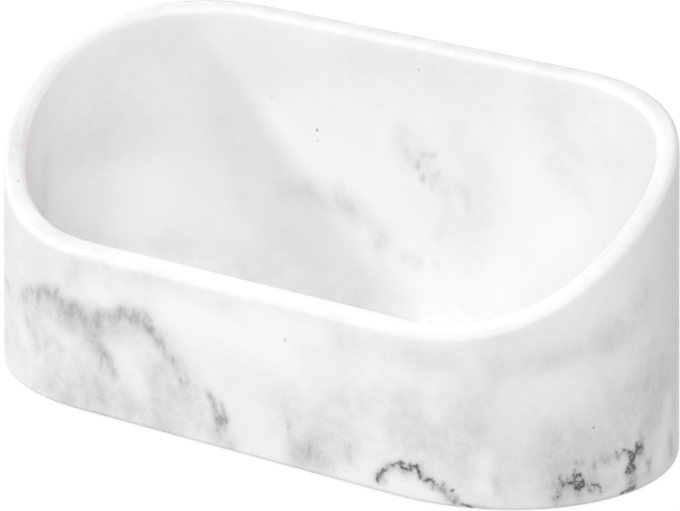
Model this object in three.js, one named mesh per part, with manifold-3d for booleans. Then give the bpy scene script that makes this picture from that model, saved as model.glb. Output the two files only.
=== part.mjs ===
// A vanity organizer: an open, oblong tray cast in marbled resin, on four stuck-on foot pads.
// Millimetres, +Z up. X runs along the tray, -Y is its low front, +Y its high back.
// The origin lies on the table, under the middle of the tray.
import * as THREE from "three";
import { mergeVertices } from "three/addons/utils/BufferGeometryUtils.js";
import Module from "manifold-3d";

// Plan of the tray at its underside: straight sides between two half-elliptic ends
const BASE_LENGTH = 220;
const BASE_WIDTH = 100;
const END_REACH = 54;

// Side view: the rim climbs from the front, ever steeper up to one depth, then bends over to the back.
// Heights and slopes are those of the rim line over the underside's front and back edges.
const FRONT_HEIGHT = 46.8;
const BACK_HEIGHT = 99.3;
const FRONT_SLOPE = 0.52;
const BACK_SLOPE = 0.11;
const STEEPEST_FROM_FRONT = 30;

// The rim's inner edge follows that line. Where the rim faces the front, it falls from there to its
// outer edge by this share of the line's own fall.
const FRONT_TILT = 0.6;

// Walls: the outside leans in as it rises, the rim is equally thick all round, the inside is upright
const OUTER_DRAFT_DEGREES = 1.4;
const WALL_AT_RIM = 6.5;
const FLOOR_THICKNESS = 8;

// Rounded edges
const OUTER_RIM_RADIUS = 2.2;
const INNER_RIM_RADIUS = 2.4;
const BASE_EDGE_RADIUS = 1;
const FLOOR_FILLET = 12;

// Foot pads, each stuck into a round recess in the underside
const PAD_DIAMETER = 14;
const PAD_THICKNESS = 2;
const PAD_EDGE_RADIUS = 0.4;
const PAD_PROUD = 1;
const PAD_FROM_END = 40;
const PAD_FROM_SIDE = 20;
const ADHESIVE_THICKNESS = 0.3;
const ADHESIVE_MARGIN = 0.5;
const RECESS_CLEARANCE = 0.5;

// Steps of the mesh
const SIDE_STEPS = 10;
const END_STEPS = 36;
const WALL_STEPS = 2;
const EDGE_STEPS = 3;
const RIM_STEPS = 5;
const FILLET_STEPS = 6;
const PAD_SEGMENTS = 32;

const HALF_LENGTH = BASE_LENGTH / 2;
const HALF_WIDTH = BASE_WIDTH / 2;
const HALF_STRAIGHT = HALF_LENGTH - END_REACH;
const DRAFT = Math.tan(THREE.MathUtils.degToRad(OUTER_DRAFT_DEGREES));
const RECESS_DEPTH = PAD_THICKNESS + ADHESIVE_THICKNESS - PAD_PROUD;

const MARBLED_RESIN = new THREE.MeshStandardMaterial({ color: 0xf1f1f1, roughness: 0.45, metalness: 0 });
const GREY_FOAM_RUBBER = new THREE.MeshStandardMaterial({ color: 0xd6d6d2, roughness: 0.9, metalness: 0 });
const CLEAR_ADHESIVE = new THREE.MeshStandardMaterial({ color: 0xe9e4d4, roughness: 0.3, metalness: 0 });

// Height of the rim above the underside at a depth y, before its edges are rounded.
// The two bends meet at the steepest place with one slope, which follows from the two end heights.
const STEEPEST_FROM_BACK = BASE_WIDTH - STEEPEST_FROM_FRONT;
const GENTLE_RISE = (FRONT_SLOPE * STEEPEST_FROM_FRONT + BACK_SLOPE * STEEPEST_FROM_BACK) / 2;
const STEEPEST_SLOPE = (BACK_HEIGHT - FRONT_HEIGHT - GENTLE_RISE) / HALF_WIDTH;
function rimHeight(y) {
  const fromFront = y + HALF_WIDTH;
  if (fromFront < STEEPEST_FROM_FRONT) {
    const steepening = (STEEPEST_SLOPE - FRONT_SLOPE) / (2 * STEEPEST_FROM_FRONT);
    return FRONT_HEIGHT + FRONT_SLOPE * fromFront + steepening * fromFront * fromFront;
  }
  const fromBack = HALF_WIDTH - y;
  const steepening = (STEEPEST_SLOPE - BACK_SLOPE) / (2 * STEEPEST_FROM_BACK);
  return BACK_HEIGHT - BACK_SLOPE * fromBack - steepening * fromBack * fromBack;
}

// Stations round the underside, anticlockwise from above, each with the direction that faces out.
function outlineStations() {
  const runs = [
    [new THREE.LineCurve(cornerAt(-1, -1), cornerAt(1, -1)), SIDE_STEPS],
    [endCurve(1, -Math.PI / 2), END_STEPS],
    [new THREE.LineCurve(cornerAt(1, 1), cornerAt(-1, 1)), SIDE_STEPS],
    [endCurve(-1, Math.PI / 2), END_STEPS],
  ];
  return runs.flatMap(([curve, steps]) =>
    Array.from({ length: steps }, (_, step) => {
      const along = curve.getTangent(step / steps);
      return { point: curve.getPoint(step / steps), out: new THREE.Vector2(along.y, -along.x) };
    }),
  );
}

// Where a straight side meets a rounded end.
function cornerAt(signX, signY) {
  return new THREE.Vector2(signX * HALF_STRAIGHT, signY * HALF_WIDTH);
}

function endCurve(signX, startAngle) {
  const endAngle = startAngle + Math.PI;
  return new THREE.EllipseCurve(signX * HALF_STRAIGHT, 0, END_REACH, HALF_WIDTH, startAngle, endAngle);
}

// A point of the tray: how far in from a station's outline, and how high above the underside.
function trayPoint(station, inset, height) {
  const plan = station.point.clone().addScaledVector(station.out, -inset);
  return new THREE.Vector3(plan.x, plan.y, height);
}

// The tray's wall at one station, from the underside up the outside, over the rim and down to the floor.
function wallSection(station) {
  const section = [];
  const put = (inset, height) => section.push(trayPoint(station, inset, height));
  const sweepAt = (inset) => rimHeight(station.point.y - station.out.y * inset);

  const outerInset = DRAFT * sweepAt(DRAFT * sweepAt(0));
  const innerInset = outerInset + WALL_AT_RIM;
  const innerEdge = sweepAt(innerInset);
  const rimAt = (inset) => {
    const drop = innerEdge - sweepAt(inset);
    return innerEdge - (drop > 0 ? FRONT_TILT : 1) * drop;
  };

  for (let step = 0; step <= EDGE_STEPS; step++) {
    const turn = ((Math.PI / 2) * step) / EDGE_STEPS;
    put(BASE_EDGE_RADIUS * (1 - Math.sin(turn)), BASE_EDGE_RADIUS * (1 - Math.cos(turn)));
  }

  const outerTop = rimAt(outerInset) - OUTER_RIM_RADIUS;
  for (let step = 1; step < WALL_STEPS; step++) {
    const share = step / WALL_STEPS;
    put(outerInset * share, THREE.MathUtils.lerp(BASE_EDGE_RADIUS, outerTop, share));
  }

  for (let step = 0; step <= RIM_STEPS; step++) {
    const turn = ((Math.PI / 2) * step) / RIM_STEPS;
    const inset = outerInset + OUTER_RIM_RADIUS * (1 - Math.cos(turn));
    put(inset, rimAt(inset) - OUTER_RIM_RADIUS * (1 - Math.sin(turn)));
  }
  for (let step = 0; step <= RIM_STEPS; step++) {
    const turn = ((Math.PI / 2) * step) / RIM_STEPS;
    const inset = innerInset - INNER_RIM_RADIUS * (1 - Math.sin(turn));
    put(inset, rimAt(inset) - INNER_RIM_RADIUS * (1 - Math.cos(turn)));
  }

  const innerTop = rimAt(innerInset) - INNER_RIM_RADIUS;
  const filletTop = FLOOR_THICKNESS + FLOOR_FILLET;
  for (let step = 1; step < WALL_STEPS; step++) {
    put(innerInset, THREE.MathUtils.lerp(innerTop, filletTop, step / WALL_STEPS));
  }
  for (let step = 0; step <= FILLET_STEPS; step++) {
    const turn = ((Math.PI / 2) * step) / FILLET_STEPS;
    const inset = innerInset + FLOOR_FILLET * (1 - Math.cos(turn));
    put(inset, FLOOR_THICKNESS + FLOOR_FILLET * (1 - Math.sin(turn)));
  }
  return section;
}

// A closed skin through wall sections that stand round a centre line, with a flat cap at each end.
function skinThrough(sections, firstCentre, lastCentre) {
  const rows = sections[0].length;
  const points = [...sections.flat(), firstCentre, lastCentre];
  const firstCap = points.length - 2;
  const lastCap = points.length - 1;
  const triangles = [];
  sections.forEach((_, station) => {
    const here = station * rows;
    const next = ((station + 1) % sections.length) * rows;
    for (let row = 0; row + 1 < rows; row++) {
      triangles.push(here + row, next + row, next + row + 1);
      triangles.push(here + row, next + row + 1, here + row + 1);
    }
    triangles.push(firstCap, next, here);
    triangles.push(lastCap, here + rows - 1, next + rows - 1);
  });
  return new THREE.BufferGeometry().setFromPoints(points).setIndex(triangles);
}

function castTray() {
  const sections = outlineStations().map(wallSection);
  const underside = new THREE.Vector3(0, 0, 0);
  const floor = new THREE.Vector3(0, 0, FLOOR_THICKNESS);
  return skinThrough(sections, underside, floor).translate(0, 0, PAD_PROUD);
}

// A plain disc standing on z = 0.
function flatDisc(diameter, thickness) {
  const radius = diameter / 2;
  return new THREE.CylinderGeometry(radius, radius, thickness, PAD_SEGMENTS)
    .rotateX(Math.PI / 2)
    .translate(0, 0, thickness / 2);
}

// A foot pad standing on z = 0, with its lower edge rounded.
function footPad() {
  const radius = PAD_DIAMETER / 2;
  const profile = [new THREE.Vector2(0, 0)];
  for (let step = 0; step <= EDGE_STEPS; step++) {
    const turn = ((Math.PI / 2) * step) / EDGE_STEPS;
    const reach = radius - PAD_EDGE_RADIUS * (1 - Math.sin(turn));
    profile.push(new THREE.Vector2(reach, PAD_EDGE_RADIUS * (1 - Math.cos(turn))));
  }
  profile.push(new THREE.Vector2(radius, PAD_THICKNESS), new THREE.Vector2(0, PAD_THICKNESS));
  return new THREE.LatheGeometry(profile, PAD_SEGMENTS).rotateX(Math.PI / 2);
}

const wasm = await Module();
wasm.setup();

function toSolid(geometry) {
  const bare = geometry.clone().deleteAttribute("normal").deleteAttribute("uv");
  const merged = mergeVertices(bare);
  return new wasm.Manifold(
    new wasm.Mesh({
      numProp: 3,
      vertProperties: new Float32Array(merged.attributes.position.array),
      triVerts: new Uint32Array(merged.index.array),
    }),
  );
}

function toGeometry(solid) {
  const { vertProperties, triVerts } = solid.getMesh();
  return new THREE.BufferGeometry()
    .setAttribute("position", new THREE.BufferAttribute(vertProperties, 3))
    .setIndex(new THREE.BufferAttribute(triVerts, 1));
}

function addPiece(group, name, geometry, material) {
  geometry.computeVertexNormals();
  const piece = new THREE.Mesh(geometry, material);
  piece.name = name;
  group.add(piece);
  return piece;
}

const PAD_PLACES = [
  { name: "front_left", signX: -1, signY: -1 },
  { name: "front_right", signX: 1, signY: -1 },
  { name: "rear_left", signX: -1, signY: 1 },
  { name: "rear_right", signX: 1, signY: 1 },
].map(({ name, signX, signY }) => ({
  name,
  x: signX * (HALF_LENGTH - PAD_FROM_END),
  y: signY * (HALF_WIDTH - PAD_FROM_SIDE),
}));

const organizer = new THREE.Group();
organizer.name = "vanity_organizer";

// The tray, with a recess for each pad. The cutter starts on the table, below the underside.
const recessDiameter = PAD_DIAMETER + 2 * RECESS_CLEARANCE;
const recessCutter = flatDisc(recessDiameter, PAD_PROUD + RECESS_DEPTH);
const recessed = PAD_PLACES.reduce(
  (tray, { x, y }) => tray.subtract(toSolid(recessCutter.clone().translate(x, y, 0))),
  toSolid(castTray()),
);
addPiece(organizer, "basin", toGeometry(recessed), MARBLED_RESIN);

// Each pad stands on the table, and its adhesive fills the space up to the recess's ceiling.
for (const { name, x, y } of PAD_PLACES) {
  const foot = new THREE.Group();
  foot.position.set(x, y, 0);
  organizer.add(foot);
  addPiece(foot, `foot_pad_${name}`, footPad(), GREY_FOAM_RUBBER);
  const adhesive = flatDisc(PAD_DIAMETER - 2 * ADHESIVE_MARGIN, ADHESIVE_THICKNESS);
  addPiece(foot, `pad_adhesive_${name}`, adhesive, CLEAR_ADHESIVE).position.z = PAD_THICKNESS;
}

export default organizer;
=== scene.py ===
# %% [markdown]
# # A vanity organizer in marbled resin
#
# This lesson builds the looks of a small bathroom tray: one casting in white resin with grey marble
# veins, round at both ends, whose rim sweeps from a low front up to a high back. It stands on four
# foam pads. The construction model holds every size, and this script puts a finer surface on the
# casting and the pads, in the same frame and in metres, and a finish on every piece.

# %% Load the construction model
import math

import bmesh
import bpy
import numpy as np
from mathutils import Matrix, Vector


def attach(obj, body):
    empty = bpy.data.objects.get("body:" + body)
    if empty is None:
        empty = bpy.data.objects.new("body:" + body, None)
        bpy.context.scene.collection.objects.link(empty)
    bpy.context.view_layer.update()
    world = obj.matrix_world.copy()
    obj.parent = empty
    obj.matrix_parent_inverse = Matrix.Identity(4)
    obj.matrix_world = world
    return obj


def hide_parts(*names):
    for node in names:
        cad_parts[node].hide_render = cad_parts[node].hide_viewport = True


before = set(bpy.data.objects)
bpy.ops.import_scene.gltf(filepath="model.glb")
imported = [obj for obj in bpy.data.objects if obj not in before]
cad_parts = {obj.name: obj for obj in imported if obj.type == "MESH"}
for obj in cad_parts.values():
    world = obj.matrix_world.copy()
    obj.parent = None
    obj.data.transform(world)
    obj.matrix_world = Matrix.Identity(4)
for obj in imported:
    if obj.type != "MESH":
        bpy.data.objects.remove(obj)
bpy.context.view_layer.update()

MM = 0.001

# %% [markdown]
# ## The camera
#
# The picture was taken from far away with a long lens, so the tray's parallel edges hardly converge.
# A camera could be placed by eye, but here its distance, height and lens were fitted to the outline
# of the tray first. It looks down at the tray from the front right, a little above it.

# %% Place the camera
CAMERA_TARGET = Vector((0.85, 2.5, 44.85)) * MM
CAMERA_DISTANCE = 1266.1 * MM
CAMERA_AZIMUTH = math.radians(34.79)
CAMERA_ELEVATION = math.radians(20.10)
# lens and sensor in millimetres, the far limit of view in metres
CAMERA_LENS = 231.44
CAMERA_SENSOR = 36
CAMERA_FAR = 50


def direction_from(azimuth, elevation):
    """The direction towards something seen at an azimuth (0 is the front, + is right) and elevation."""
    level = math.cos(elevation)
    return Vector((math.sin(azimuth) * level, -math.cos(azimuth) * level, math.sin(elevation)))


bpy.ops.object.select_all(action="DESELECT")
bpy.ops.object.camera_add()
camera = bpy.context.object
to_camera = direction_from(CAMERA_AZIMUTH, CAMERA_ELEVATION)
camera.location = CAMERA_TARGET + to_camera * CAMERA_DISTANCE
camera.rotation_euler = to_camera.to_track_quat("Z", "Y").to_euler()
camera.data.lens = CAMERA_LENS
camera.data.sensor_width = CAMERA_SENSOR
camera.data.clip_end = CAMERA_FAR
bpy.context.scene.camera = camera
print("camera at", camera.location)

# %% [markdown]
# ## The outline of the tray
#
# Seen from above, the tray is an oblong with straight sides and round ends that are a little longer
# than half circles. A plane with its four corners bevelled until they meet gives two half circles in
# one step, and a stretch of each end then makes the half ellipses. The straight sides are divided so
# that every part of the wall gets faces of about the same length.

# %% Sizes of the tray, as in the construction model
BASE_LENGTH = 220 * MM
BASE_WIDTH = 100 * MM
END_REACH = 54 * MM
HALF_WIDTH = BASE_WIDTH / 2
HALF_STRAIGHT = BASE_LENGTH / 2 - END_REACH
UNDERSIDE = 1 * MM
SIDE_STEPS = 20
CORNER_STEPS = 16
NEAR = 0.01 * MM


# %% Helpers to select one piece, or its edges and faces by place
def select_only(piece):
    """Selects one object, and makes it the active one."""
    bpy.ops.object.select_all(action="DESELECT")
    piece.select_set(True)
    bpy.context.view_layer.objects.active = piece


def select_edges(piece, wanted):
    """Selects the edges of a piece in edit mode for which wanted(edge) is true, and nothing else."""
    bpy.ops.mesh.select_mode(type="EDGE")
    bpy.ops.mesh.select_all(action="DESELECT")
    shape = bmesh.from_edit_mesh(piece.data)
    for edge in shape.edges:
        edge.select_set(bool(wanted(edge)))
    shape.select_flush_mode()
    bmesh.update_edit_mesh(piece.data)


def select_faces(piece, wanted):
    """Selects the faces of a piece in edit mode for which wanted(face) is true, and nothing else."""
    bpy.ops.mesh.select_mode(type="FACE")
    bpy.ops.mesh.select_all(action="DESELECT")
    shape = bmesh.from_edit_mesh(piece.data)
    for face in shape.faces:
        face.select_set(bool(wanted(face)))
    shape.select_flush_mode()
    bmesh.update_edit_mesh(piece.data)


# %% Draw the outline
bpy.ops.object.select_all(action="DESELECT")
bpy.ops.mesh.primitive_plane_add(size=1)
basin = bpy.context.object
basin.name = "marbled_basin"
bpy.ops.object.mode_set(mode="EDIT")
bpy.ops.mesh.select_all(action="SELECT")
bpy.ops.transform.resize(value=(2 * (HALF_STRAIGHT + HALF_WIDTH), BASE_WIDTH, 1))
bpy.ops.mesh.bevel(offset=HALF_WIDTH, segments=CORNER_STEPS, affect="VERTICES", clamp_overlap=False)
bpy.ops.mesh.select_all(action="SELECT")
bpy.ops.mesh.remove_doubles(threshold=NEAR)
bpy.ops.mesh.delete(type="ONLY_FACE")

for side in (-1, 1):
    select_edges(basin, lambda edge: all(v.co.x * side > HALF_STRAIGHT - NEAR for v in edge.verts))
    pivot = (side * HALF_STRAIGHT, 0, 0)
    bpy.ops.transform.resize(value=(END_REACH / HALF_WIDTH, 1, 1), center_override=pivot)

select_edges(basin, lambda edge: edge.calc_length() > HALF_STRAIGHT)
bpy.ops.mesh.subdivide(number_cuts=SIDE_STEPS - 1)
outline = bmesh.from_edit_mesh(basin.data)
print("outline:", len(outline.verts), "stations round the tray")

# %% [markdown]
# ## The wall of the tray
#
# The body is one casting: the outside leans in a little so that it leaves its mould, the rim is a
# soft round edge, the inside drops upright and runs into the floor through a wide fillet. The rim's
# height changes all the way round, so a bisected block would leave uneven faces to bevel. Instead the
# outline is extruded ring by ring, as a potter raises a wall, and each ring is set to its place on
# the wall's section. Every vertex remembers the station of the outline that it grew from. The rim's
# inner edge follows one line, and where the rim faces the front it tips forward less than that line.

# %% The wall's sizes
FRONT_HEIGHT = 46.8 * MM
BACK_HEIGHT = 99.3 * MM
FRONT_SLOPE = 0.52
BACK_SLOPE = 0.11
STEEPEST_FROM_FRONT = 30 * MM
STEEPEST_FROM_BACK = BASE_WIDTH - STEEPEST_FROM_FRONT
FRONT_TILT = 0.6
DRAFT = math.tan(math.radians(1.4))
WALL_AT_RIM = 6.5 * MM
FLOOR_THICKNESS = 8 * MM
OUTER_RIM_RADIUS = 2.2 * MM
INNER_RIM_RADIUS = 2.4 * MM
BASE_EDGE_RADIUS = 1 * MM
FLOOR_FILLET = 12 * MM
RISE = BACK_HEIGHT - FRONT_HEIGHT
GENTLE_RISE = (FRONT_SLOPE * STEEPEST_FROM_FRONT + BACK_SLOPE * STEEPEST_FROM_BACK) / 2
STEEPEST_SLOPE = (RISE - GENTLE_RISE) / HALF_WIDTH


def rim_height(y):
    """Height of the rim line above the underside: ever steeper from the front, then bent over to the back."""
    from_front_edge = y + HALF_WIDTH
    if from_front_edge < STEEPEST_FROM_FRONT:
        steepening = (STEEPEST_SLOPE - FRONT_SLOPE) / (2 * STEEPEST_FROM_FRONT)
        return FRONT_HEIGHT + FRONT_SLOPE * from_front_edge + steepening * from_front_edge ** 2
    from_back_edge = HALF_WIDTH - y
    steepening = (STEEPEST_SLOPE - BACK_SLOPE) / (2 * STEEPEST_FROM_BACK)
    return BACK_HEIGHT - BACK_SLOPE * from_back_edge - steepening * from_back_edge ** 2


def outward(x, y):
    """The level direction that faces out of the tray at a place on its outline."""
    past_straight = max(abs(x) - HALF_STRAIGHT, 0)
    steep = Vector((math.copysign(past_straight, x) / END_REACH ** 2, y / HALF_WIDTH ** 2))
    return steep.normalized()


def section_point(place, out, part, share):
    """Where one row of the wall lies at a station: how far in from the outline, and how high."""

    def line_at(inset):
        return rim_height(place.y - out.y * inset)

    def rim_at(inset):
        fall = line_at(inner) - line_at(inset)
        return line_at(inner) - (FRONT_TILT if fall > 0 else 1) * fall

    turn = share * math.pi / 2
    round_off = 1 - math.cos(turn)
    round_up = 1 - math.sin(turn)
    outer = DRAFT * line_at(DRAFT * line_at(0))
    inner = outer + WALL_AT_RIM
    if part == "base edge":
        return BASE_EDGE_RADIUS * round_up, BASE_EDGE_RADIUS * round_off
    if part == "outside":
        top = rim_at(outer) - OUTER_RIM_RADIUS
        return outer * share, BASE_EDGE_RADIUS + (top - BASE_EDGE_RADIUS) * share
    if part == "outer rim":
        inset = outer + OUTER_RIM_RADIUS * round_off
        return inset, rim_at(inset) - OUTER_RIM_RADIUS * round_up
    if part == "inner rim":
        inset = inner - INNER_RIM_RADIUS * round_up
        return inset, rim_at(inset) - INNER_RIM_RADIUS * round_off
    fillet_top = FLOOR_THICKNESS + FLOOR_FILLET
    if part == "inside":
        top = rim_at(inner) - INNER_RIM_RADIUS
        return inner, top + (fillet_top - top) * share
    return inner + FLOOR_FILLET * round_off, FLOOR_THICKNESS + FLOOR_FILLET * round_up


# %% Give every vertex of the outline its station
outline = bmesh.from_edit_mesh(basin.data)
station_of = outline.verts.layers.int.new("station")
stations = []
for vertex in outline.verts:
    vertex[station_of] = len(stations)
    stations.append((vertex.co.xy.copy(), outward(vertex.co.x, vertex.co.y)))
bmesh.update_edit_mesh(basin.data)


def set_ring(part, share):
    """Puts the selected ring of vertices where a row of the wall's section says."""
    shape = bmesh.from_edit_mesh(basin.data)
    layer = shape.verts.layers.int["station"]
    for vertex in shape.verts:
        if vertex.select:
            place, out = stations[vertex[layer]]
            inset, height = section_point(place, out, part, share)
            plan = place - out * inset
            vertex.co = (plan.x, plan.y, UNDERSIDE + height)
    bmesh.update_edit_mesh(basin.data)


# %% List the rows of the wall
# Each is a part of the section and a share of it. Rows close to an edge hold it when the mesh is smoothed.
OUTSIDE_STEPS = 12
INSIDE_STEPS = 7
CLOSE_TO_START = [0.02, 0.06]
CLOSE_TO_END = [0.965]
ROUND_ROWS = [0, 0.25, 0.5, 0.75, 1]
outside_rows = CLOSE_TO_START + [step / OUTSIDE_STEPS for step in range(1, OUTSIDE_STEPS)] + CLOSE_TO_END
inside_rows = [step / INSIDE_STEPS for step in range(1, INSIDE_STEPS)] + CLOSE_TO_END
rows = [("base edge", 0.5), ("base edge", 1)]
rows += [("outside", share) for share in outside_rows]
rows += [("outer rim", share) for share in ROUND_ROWS]
rows += [("inner rim", share) for share in ROUND_ROWS]
rows += [("inside", share) for share in inside_rows]
rows += [("floor fillet", share) for share in ROUND_ROWS]
print("wall:", len(rows), "rows above the first")


# %% Raise the wall ring by ring
def hold_caps_flat(piece, cap_heights, ring_widths):
    """Insets rings in a piece's many-sided end faces, so that they stay flat when it is smoothed."""
    for cap_height in cap_heights:
        for ring_width in ring_widths:
            select_faces(
                piece,
                lambda face: len(face.verts) > 4 and abs(face.calc_center_median().z - cap_height) < NEAR,
            )
            bpy.ops.mesh.inset(thickness=ring_width)


CAP_RINGS = (1.5 * MM, 12 * MM)
bpy.ops.mesh.select_all(action="SELECT")
set_ring("base edge", 0)
for part, share in rows:
    bpy.ops.mesh.extrude_edges_move()
    set_ring(part, share)
# the last ring closes to the floor, and the first one to the underside
bpy.ops.mesh.edge_face_add()
select_edges(basin, lambda edge: edge.is_boundary)
bpy.ops.mesh.edge_face_add()
hold_caps_flat(basin, (UNDERSIDE, UNDERSIDE + FLOOR_THICKNESS), CAP_RINGS)

bpy.ops.mesh.select_all(action="SELECT")
bpy.ops.mesh.normals_make_consistent(inside=False)
bpy.ops.object.mode_set(mode="OBJECT")
basin.data.attributes.remove(basin.data.attributes["station"])
print("wall cage:", len(rows) + 1, "rows,", len(basin.data.polygons), "faces")


# %% Smooth the casting
SMOOTH_LEVELS = 2


def apply_modifier(piece, kind, **settings):
    """Adds a modifier with its settings and applies it at once."""
    select_only(piece)
    modifier = piece.modifiers.new(kind.title(), kind)
    for name, value in settings.items():
        setattr(modifier, name, value)
    bpy.ops.object.modifier_apply(modifier=modifier.name)


apply_modifier(basin, "SUBSURF", levels=SMOOTH_LEVELS, render_levels=SMOOTH_LEVELS)
print("smoothed casting:", len(basin.data.polygons), "faces")

# %% [markdown]
# ## Recesses for the pads
#
# Each foam pad is stuck into a shallow round recess in the underside, so that it can't be pushed off
# sideways. A bevelled hole could be modelled into the mesh, but a Boolean cut with one plain cylinder
# per pad is quicker, and leaves the flat underside alone.

# %% Cut the recesses
PAD_DIAMETER = 14 * MM
PAD_THICKNESS = 2 * MM
ADHESIVE_THICKNESS = 0.3 * MM
RECESS_CLEARANCE = 0.5 * MM
PAD_X = 70 * MM
PAD_Y = 30 * MM
PAD_PLACES = {
    "front_left": (-PAD_X, -PAD_Y, 0),
    "front_right": (PAD_X, -PAD_Y, 0),
    "rear_left": (-PAD_X, PAD_Y, 0),
    "rear_right": (PAD_X, PAD_Y, 0),
}
DISC_SIDES = 64
CASTING_SHARP_ANGLE = math.radians(40)
recess_ceiling = PAD_THICKNESS + ADHESIVE_THICKNESS
cutters = []
for pad_place in PAD_PLACES.values():
    bpy.ops.object.select_all(action="DESELECT")
    bpy.ops.mesh.primitive_cylinder_add(
        vertices=DISC_SIDES,
        radius=PAD_DIAMETER / 2 + RECESS_CLEARANCE,
        depth=2 * recess_ceiling,
        location=pad_place,
    )
    cutters.append(bpy.context.object)
for cutter in cutters:
    apply_modifier(basin, "BOOLEAN", operation="DIFFERENCE", solver="EXACT", object=cutter)
    bpy.data.objects.remove(cutter)

select_only(basin)
bpy.ops.object.shade_smooth_by_angle(angle=CASTING_SHARP_ANGLE)
print("basin:", len(basin.data.polygons), "faces after the four recesses")

# %% [markdown]
# ## Where the veins run
#
# The veins come from grey pigment that is dribbled into the white resin while it is poured, so they
# run as smudges, dark grainy lines and pale clouds that belong to this casting. A noise texture alone
# would put them anywhere. So each vein is a stroke: a few places on the wall, given as a distance
# along the outline and a height, a width and a strength, in millimetres. The strokes are gathered in
# three point attributes, and the material breaks them up into streaks and grains. An attribute is
# only as fine as the faces that carry it, so the faces are divided first where the veins are fine.
# The outside of the back is out of view, so it repeats the front's marks, mirrored and stretched.
# Some pale clouds are painted shade instead: on the rim, just under the front rim, low inside the back, and
# on the floors.

# %% Measure along the wall
END_RADIUS = math.sqrt((END_REACH ** 2 + HALF_WIDTH ** 2) / 2)
HALF_ROUND = 2 * HALF_STRAIGHT + math.pi * END_RADIUS


def distance_from_front(x, y):
    """Distance along the outline from the middle of the front, + to the right."""
    on_side = np.where(y < 0, np.abs(x), HALF_ROUND - np.abs(x))
    turn = np.arctan2(y / HALF_WIDTH, (np.abs(x) - HALF_STRAIGHT) / END_REACH)
    on_end = HALF_STRAIGHT + END_RADIUS * (turn + math.pi / 2)
    return np.sign(x) * np.where(np.abs(x) <= HALF_STRAIGHT, on_side, on_end)


# %% Make finer faces where the veins are fine
# side, cuts in each face, from and to along the wall, from and to up the wall
FINE_PATCHES = [
    ("outside", 1, -82, 0, 4, 36),
    ("outside", 2, 48, 80, -1, 12),
    ("outside", 2, 100, 135, -1, 15.5),
    ("inside", 3, -7, 22, 50, 72),
    ("back", 1, -54, 20, 44, 69),
    ("back", 1, 24, 56, 4, 20),
]
# how squarely a face has to look out of the tray, or into it, to belong to the wall
WALL_FACING = 0.5


def on_patch(face, patch):
    """Whether a face lies on a patch: outside round the front, or on either face of the straight back."""
    side, _, start, end, bottom, top = patch
    centre = face.calc_center_median()
    if not bottom < (centre.z - UNDERSIDE) / MM < top:
        return False
    facing = face.normal.xy.dot(outward(centre.x, centre.y))
    if side == "outside":
        along = distance_from_front(centre.x, centre.y) / MM
        return facing > WALL_FACING and centre.y < 0 and start < along < end
    towards_patch = facing if side == "back" else -facing
    return towards_patch > WALL_FACING and centre.y > 0 and start < centre.x / MM < end


select_only(basin)
bpy.ops.object.mode_set(mode="EDIT")
for patch in FINE_PATCHES:
    select_faces(basin, lambda face: on_patch(face, patch))
    bpy.ops.mesh.subdivide(number_cuts=patch[1], smoothness=1)
bpy.ops.object.mode_set(mode="OBJECT")
print("basin:", len(basin.data.polygons), "faces with the finer ones")


# %% Find the place of every vertex on the wall
NO_LENGTH = 1e-9


def wall_places(piece):
    """For every vertex: distance from the front and from the back, height (mm), and how far it faces out."""
    count = len(piece.data.vertices)
    places = np.empty(count * 3, np.float32)
    normals = np.empty(count * 3, np.float32)
    piece.data.vertices.foreach_get("co", places)
    piece.data.vertex_normals.foreach_get("vector", normals)
    x, y, z = places.reshape(-1, 3).T.astype(float)
    past = np.maximum(np.abs(x) - HALF_STRAIGHT, 0)
    out_x = np.sign(x) * past / END_REACH ** 2
    out_y = y / HALF_WIDTH ** 2
    length = np.maximum(np.hypot(out_x, out_y), NO_LENGTH)
    normal_x, normal_y, _ = normals.reshape(-1, 3).T
    faces_out = (normal_x * out_x + normal_y * out_y) / length
    from_front = distance_from_front(x, y)
    from_back = np.where(from_front < 0, -HALF_ROUND - from_front, HALF_ROUND - from_front)
    return from_front / MM, from_back / MM, (z - UNDERSIDE) / MM, faces_out


from_front, from_back, height, faces_out = wall_places(basin)
print("wall places: round the tray", round(2 * HALF_ROUND / MM), "mm")

# %% Strokes at the left of the front
# Each is a kind, a width and a strength, then places as (distance, height).
LEFT_SMUDGE = [
    ("smudge", 1.2, 0.45, [(-79.5, 28.2), (-77.8, 28.8), (-77.6, 30.6)]),
    ("smudge", 0.8, 0.55, [(-75.4, 32.2), (-74.6, 31.6)]),
    ("smudge", 1.1, 0.85, [(-71.4, 32.6), (-70.2, 33.4), (-68.8, 33.8), (-67.2, 33.4)]),
    ("smudge", 0.9, 0.5, [(-71.5, 32.4), (-71.8, 30.6)]),
    ("smudge", 0.9, 0.3, [(-72.2, 29), (-72.4, 27.6)]),
    ("smudge", 1.7, 0.48, [(-66.8, 32.4), (-64, 32.6), (-61.8, 32.2)]),
    ("smudge", 0.9, 0.5, [(-63, 35.8), (-64, 34.4), (-63.8, 33.4)]),
    ("smudge", 1.3, 0.5, [(-61, 31.2), (-60.4, 29.4)]),
    ("smudge", 1.6, 0.75, [(-58.4, 29.6), (-57.4, 30.4), (-56, 30.8), (-54.6, 30.2)]),
    ("smudge", 0.9, 0.5, [(-58, 31.6), (-56.4, 32.4)]),
    ("smudge", 1.8, 0.3, [(-62, 27.6), (-60.4, 26.2), (-58.4, 25.8), (-57, 27.5)]),
    ("smudge", 0.9, 0.3, [(-66, 28.4), (-66.2, 27)]),
    ("smudge", 3.5, 0.12, [(-79, 28), (-70, 29), (-60, 28), (-50, 28)]),
    # its drips
    ("smudge", 1.3, 0.3, [(-78.4, 22), (-76.8, 20.8)]),
    ("smudge", 1.6, 0.3, [(-73.4, 18.4), (-73, 16.6), (-71.8, 15.4)]),
    ("smudge", 1.8, 0.22, [(-68, 17.5), (-67.6, 15)]),
    ("smudge", 1.0, 0.25, [(-62.4, 17.9), (-61.8, 17.2)]),
]
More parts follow.
